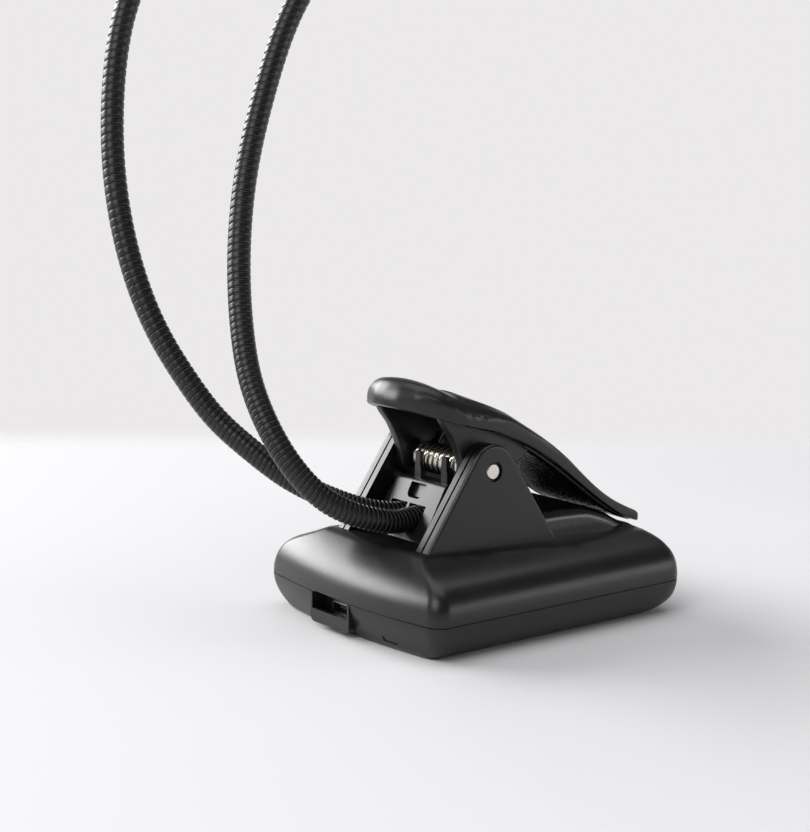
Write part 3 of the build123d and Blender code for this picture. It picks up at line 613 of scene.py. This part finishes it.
def jawPads():
    below, above = pads["lower"], pads["upper"]

    def outlineOf(pad):
        return lambda u, v: (pad["from"] + (pad["to"] - pad["from"]) * u, v * pad["half"])

    def lowerHeights(x, y, inward, upper):
        if not upper:
            return np.full(len(x), below["floor"])
        return np.maximum(smoothCurve(below["top"], x) - roundDrop(below["round"], inward),
                          below["floor"] + below["leastHeight"])

    def upperHeights(x, y, inward, upper):
        seat = smoothCurve(lever["lower"], x)
        if upper:
            return seat + above["seat"]
        return seat - line(above["proud"], x) + roundDrop(above["round"], inward)

    made = finishPiece(sheetPair(outlineOf(below), lowerHeights), "lowerPad", padTpu, "base",
                       pads["smoothAngle"])
    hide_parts("lower_jaw_pad")
    made = finishPiece(sheetPair(outlineOf(above), upperHeights), "upperPad", padTpu, "clamp_lever",
                       pads["smoothAngle"])
    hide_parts("upper_jaw_pad")


clampLever()
jawPads()
print("lever and pads shaped")

# Shells: copies of the moulded halves, with the fuller jaw end that the photo shows

shell = {"lower": {"node": "lower_shell", "from": 30.2, "full": 33.2},
         "upper": {"node": "upper_shell", "from": 22.0, "full": 33.2},
         # how much further the jaw end reaches, by height
         "reach": [(0, 2.0), (8, 2.0), (10.7, 2.2), (14.9, 2.8), (18, 4.2)],
         "merge": 0.002, "smoothAngle": 35}


def fullerShell(half):
    part = shell[half]
    mesh = bmesh.new()
    mesh.from_mesh(nodes[part["node"]].data)
    bmesh.ops.remove_doubles(mesh, verts=mesh.verts, dist=shell["merge"] * mm)
    for corner in mesh.verts:
        share = ease((corner.co.x / mm - part["from"]) / (part["full"] - part["from"]))
        corner.co.x += share * line(shell["reach"], corner.co.z / mm) * mm
    piece = finishPiece(mesh, half + "Housing", housingAbs, "base",
                        shell["smoothAngle"])
    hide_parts(part["node"])


fullerShell("lower")
fullerShell("upper")
print("shells shaped")

# Floor, light and camera. The room is pale up to a little above the horizon and dim above that,
# so the floor's sheet fades into it behind the lamp and at its rim.

stage = {"half": 1.1, "turn": 37.5, "fadeFrom": 0.195, "fadeTo": 0.245, "rimFrom": 0.8, "rimTo": 1.05,
         "paper": "e1e1e2"}


def paperMaterial():
    material, tree, shader, coords = startMaterial("mattPaper", stage["paper"], IOR=1.45, Roughness=0.7)
    rotation = (0, 0, math.radians(stage["turn"]))
    turned = addNode(tree, "ShaderNodeMapping", {"Rotation": rotation}, Vector=coords)
    along = addNode(tree, "ShaderNodeSeparateXYZ", Vector=turned.outputs["Vector"]).outputs["Y"]
    behind = addNode(tree, "ShaderNodeMapRange",
                     {"From Min": stage["fadeFrom"], "From Max": stage["fadeTo"],
                      "interpolation_type": "SMOOTHSTEP"}, Value=along)
    radius = addNode(tree, "ShaderNodeVectorMath", {"operation": "LENGTH"}, in0=coords)
    rim = addNode(tree, "ShaderNodeMapRange",
                  {"From Min": stage["rimFrom"], "From Max": stage["rimTo"],
                   "interpolation_type": "SMOOTHSTEP"}, Value=radius.outputs["Value"])
    gone = addNode(tree, "ShaderNodeMath", {"operation": "MAXIMUM"}, in0=behind.outputs["Result"],
                   in1=rim.outputs["Result"])
    clear = addNode(tree, "ShaderNodeBsdfTransparent")
    mix = addNode(tree, "ShaderNodeMixShader", in0=gone.outputs["Value"], in1=shader.outputs["BSDF"],
                  in2=clear.outputs["BSDF"])
    output = [node for node in tree.nodes if node.type == "OUTPUT_MATERIAL"][0]
    tree.links.new(mix.outputs["Shader"], output.inputs["Surface"])
    return material


def paperSheet():
    mesh = bmesh.new()
    bmesh.ops.create_grid(mesh, x_segments=1, y_segments=1, size=stage["half"])
    data = bpy.data.meshes.new("paperSheet")
    mesh.to_mesh(data)
    mesh.free()
    sheet = bpy.data.objects.new("paperSheet", data)
    bpy.context.collection.objects.link(sheet)
    data.materials.append(paperMaterial())


paperSheet()

# each light stands at a bearing from +Y towards +X and an elevation, both in degrees, and faces the lamp
lights = {
    "windowBehind": {"bearing": -22, "elevation": 24, "distance": 2.4, "size": (2.5, 0.85),
                     "radiance": 11.5},
    "overhead": {"bearing": 40, "elevation": 78, "distance": 1.3, "size": (1.3, 1.1), "radiance": 1.6},
    "windowLeft": {"bearing": -108, "elevation": 44, "distance": 1.6, "size": (1.0, 0.8), "radiance": 3.4},
    "doorRight": {"bearing": 134, "elevation": 14, "distance": 1.4, "size": (0.8, 0.34), "radiance": 2.2}}
for name, light in lights.items():
    lamp = bpy.data.lights.new(name, "AREA")
    lamp.shape = "RECTANGLE"
    lamp.size, lamp.size_y = light["size"]
    lamp.energy = light["radiance"] * lamp.size * lamp.size_y * math.pi
    holder = bpy.data.objects.new(name, lamp)
    bpy.context.collection.objects.link(holder)
    bearing, elevation = math.radians(light["bearing"]), math.radians(light["elevation"])
    away = Vector((math.sin(bearing) * math.cos(elevation), math.cos(bearing) * math.cos(elevation),
                   math.sin(elevation)))
    holder.location = away * light["distance"]
    holder.rotation_euler = (-away).to_track_quat("-Z", "Y").to_euler()
    holder.visible_camera = False

room = {"pale": "ebe9ea", "dim": "66676a", "paleUpTo": 0.12, "dimFrom": 0.34}
world = bpy.data.worlds.new("paleRoom")
bpy.context.scene.world = world
world.use_nodes = True
tree = world.node_tree
heading = addNode(tree, "ShaderNodeTexCoord").outputs["Generated"]
upward = addNode(tree, "ShaderNodeSeparateXYZ", Vector=heading).outputs["Z"]
rise = spread(tree, upward, 0, 1, room["paleUpTo"], room["dimFrom"])
tree.links.new(tint(tree, rise, room["pale"], room["dim"]), tree.nodes["Background"].inputs["Color"])

# fitted to the photo: place in metres, angles in degrees, lens in millimetres
view = {"place": (-0.24760, -0.29868, 0.10773), "turn": 37.4978, "tilt": 9.3005, "roll": 0.2767,
        "lens": 76.262}
camera = bpy.data.objects.new("camera", bpy.data.cameras.new("camera"))
bpy.context.collection.objects.link(camera)
camera.data.lens = view["lens"]
camera.data.clip_start = 0.01
camera.matrix_world = (Matrix.Translation(view["place"])
                       @ Matrix.Rotation(-math.radians(view["turn"]), 4, "Z")
                       @ Matrix.Rotation(math.radians(90 - view["tilt"]), 4, "X")
                       @ Matrix.Rotation(math.radians(view["roll"]), 4, "Z"))
bpy.context.scene.camera = camera
bpy.context.scene.view_settings.view_transform = "Standard"
print("stage, lights and camera set")
